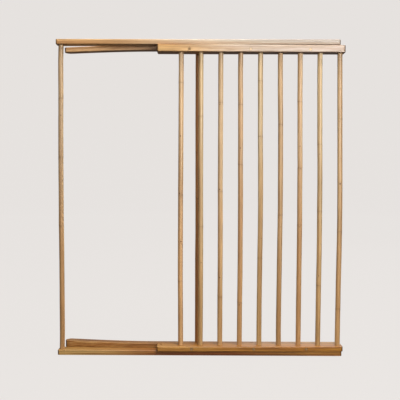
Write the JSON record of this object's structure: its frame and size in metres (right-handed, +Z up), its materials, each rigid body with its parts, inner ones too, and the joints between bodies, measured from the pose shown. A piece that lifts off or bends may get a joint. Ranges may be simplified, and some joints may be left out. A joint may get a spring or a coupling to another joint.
{
  "type": "extending wooden safety gate",
  "caption": "Low wooden doorway safety gate: an outer frame with one post, and a spindle panel that slides sideways along its rails to widen the gate.",
  "frame": {"origin": "middle of the closed gate's footprint, on the floor plane under the outer bottom rail", "axes": "+X along the rails, the way the panel slides out; -Y the front, the side the front rails and the spindles are on; +Z up"},
  "size_m": [0.731, 0.0719, 0.803],
  "materials": {
    "rail_wood": "satin, clear-coated pale wood",
    "rod_wood": "satin, clear-coated pale wood dowel",
    "rear_wood": "satin, honey-brown wood",
    "peg": "plain wood dowel",
    "screw": "yellow-zinc steel, countersunk"
  },
  "bodies": {
    "outer_frame": {"outer_top_rail": "rail_wood", "outer_bottom_rail": "rail_wood", "left_post": "rod_wood", "outer_top_guide_peg": "peg", "outer_bottom_guide_peg": "peg", "post_screw_top": "screw", "post_screw_bottom": "screw"},
    "sliding_panel": {"front_top_rail": "rail_wood", "front_bottom_rail": "rail_wood", "rear_top_rail": "rear_wood", "rear_bottom_rail": "rear_wood", "spindle_1": "rod_wood", "spindle_2": "rod_wood", "spindle_3": "rod_wood", "spindle_4": "rod_wood", "spindle_5": "rod_wood", "spindle_6": "rod_wood", "spindle_7": "rod_wood", "spindle_8": "rod_wood", "spindle_9": "rod_wood", "rear_stile": "rear_wood", "panel_top_guide_peg": "peg", "panel_bottom_guide_peg": "peg", "stile_screw_top": "screw", "stile_screw_bottom": "screw", "rail_screw_top_1": "screw", "rail_screw_top_2": "screw", "rail_screw_top_3": "screw", "rail_screw_bottom_1": "screw", "rail_screw_bottom_2": "screw", "rail_screw_bottom_3": "screw", "top_cleat_1": "peg", "top_cleat_2": "peg", "top_cleat_3": "peg", "cleat_screw_1": "screw", "cleat_screw_2": "screw", "cleat_screw_3": "screw"}
  },
  "joints": [
    {"name": "panel_slide", "type": "slide", "parent": "outer_frame", "child": "sliding_panel", "axis": [1, 0, 0], "range_m": [0, 0.35]}
  ]
}
